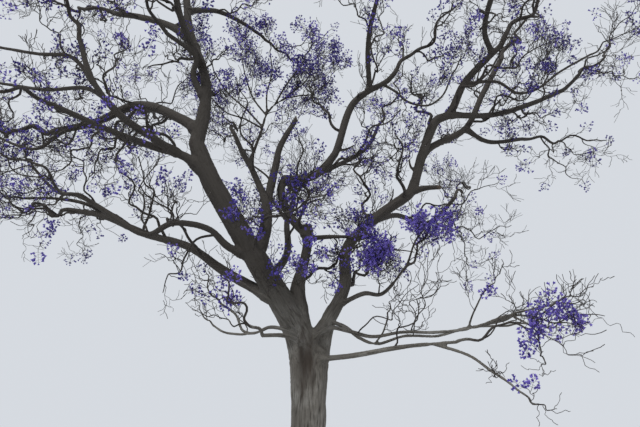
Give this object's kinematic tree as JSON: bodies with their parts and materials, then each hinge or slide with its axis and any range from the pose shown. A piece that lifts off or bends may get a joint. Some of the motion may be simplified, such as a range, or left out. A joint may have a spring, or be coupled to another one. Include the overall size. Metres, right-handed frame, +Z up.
{
  "type": "jacaranda tree",
  "caption": "Spreading flowering tree, nearly bare of leaves: a short leaning trunk with a root flare, sinuous boughs and open masses of fine twigs tipped with blossom",
  "frame": {"origin": "middle of the flat cut under the trunk, at ground level", "axes": "+Z up; X along the crown's widest side, with the big left leader on the -X side; -Y faces the side the tree is best seen from"},
  "size_m": [17.2145, 13.7853, 13.2296],
  "materials": {
    "bark": "light grey-brown, finely fissured bark",
    "twigs": "thin bare twigs tipped with blue-violet blossom"
  },
  "bodies": {
    "root": {"trunk": "bark", "left_leader": "bark", "right_leader": "bark", "centre_stem": "bark", "left_leader_top": "bark", "left_low_bough": "bark", "left_drooping_bough": "bark", "left_long_bough": "bark", "left_front_bough": "bark", "left_arch_bough": "bark", "left_back_bough": "bark", "top_front_bough": "bark", "top_forward_bough": "bark", "top_left_bough": "bark", "top_right_bough": "bark", "inner_stem": "bark", "inner_front_bough": "bark", "broken_stub": "bark", "inner_back_bough": "bark", "back_bough": "bark", "centre_bough": "bark", "centre_back_bough": "bark", "centre_front_bough": "bark", "centre_short_bough": "bark", "right_upper_bough": "bark", "right_tall_bough": "bark", "right_outer_bough": "bark", "right_low_bough": "bark", "right_front_bough": "bark", "right_back_bough": "bark", "low_forward_bough": "bark", "low_right_bough": "bark", "low_left_bough": "bark", "crown_top_twigs": "twigs", "left_arch_twigs": "twigs", "left_back_twigs": "twigs", "left_long_twigs": "twigs", "left_front_twigs": "twigs", "left_low_twigs": "twigs", "left_drooping_twigs": "twigs", "top_front_twigs": "twigs", "top_forward_twigs": "twigs", "top_left_twigs": "twigs", "top_right_twigs": "twigs", "inner_front_twigs": "twigs", "inner_back_twigs": "twigs", "back_twigs": "twigs", "centre_twigs": "twigs", "centre_back_twigs": "twigs", "centre_front_twigs": "twigs", "centre_short_twigs": "twigs", "right_upper_twigs": "twigs", "right_tall_twigs": "twigs", "right_outer_twigs": "twigs", "right_low_twigs": "twigs", "right_front_twigs": "twigs", "right_back_twigs": "twigs", "low_forward_twigs": "twigs", "low_right_twigs": "twigs", "low_left_twigs": "twigs"}
  },
  "joints": []
}
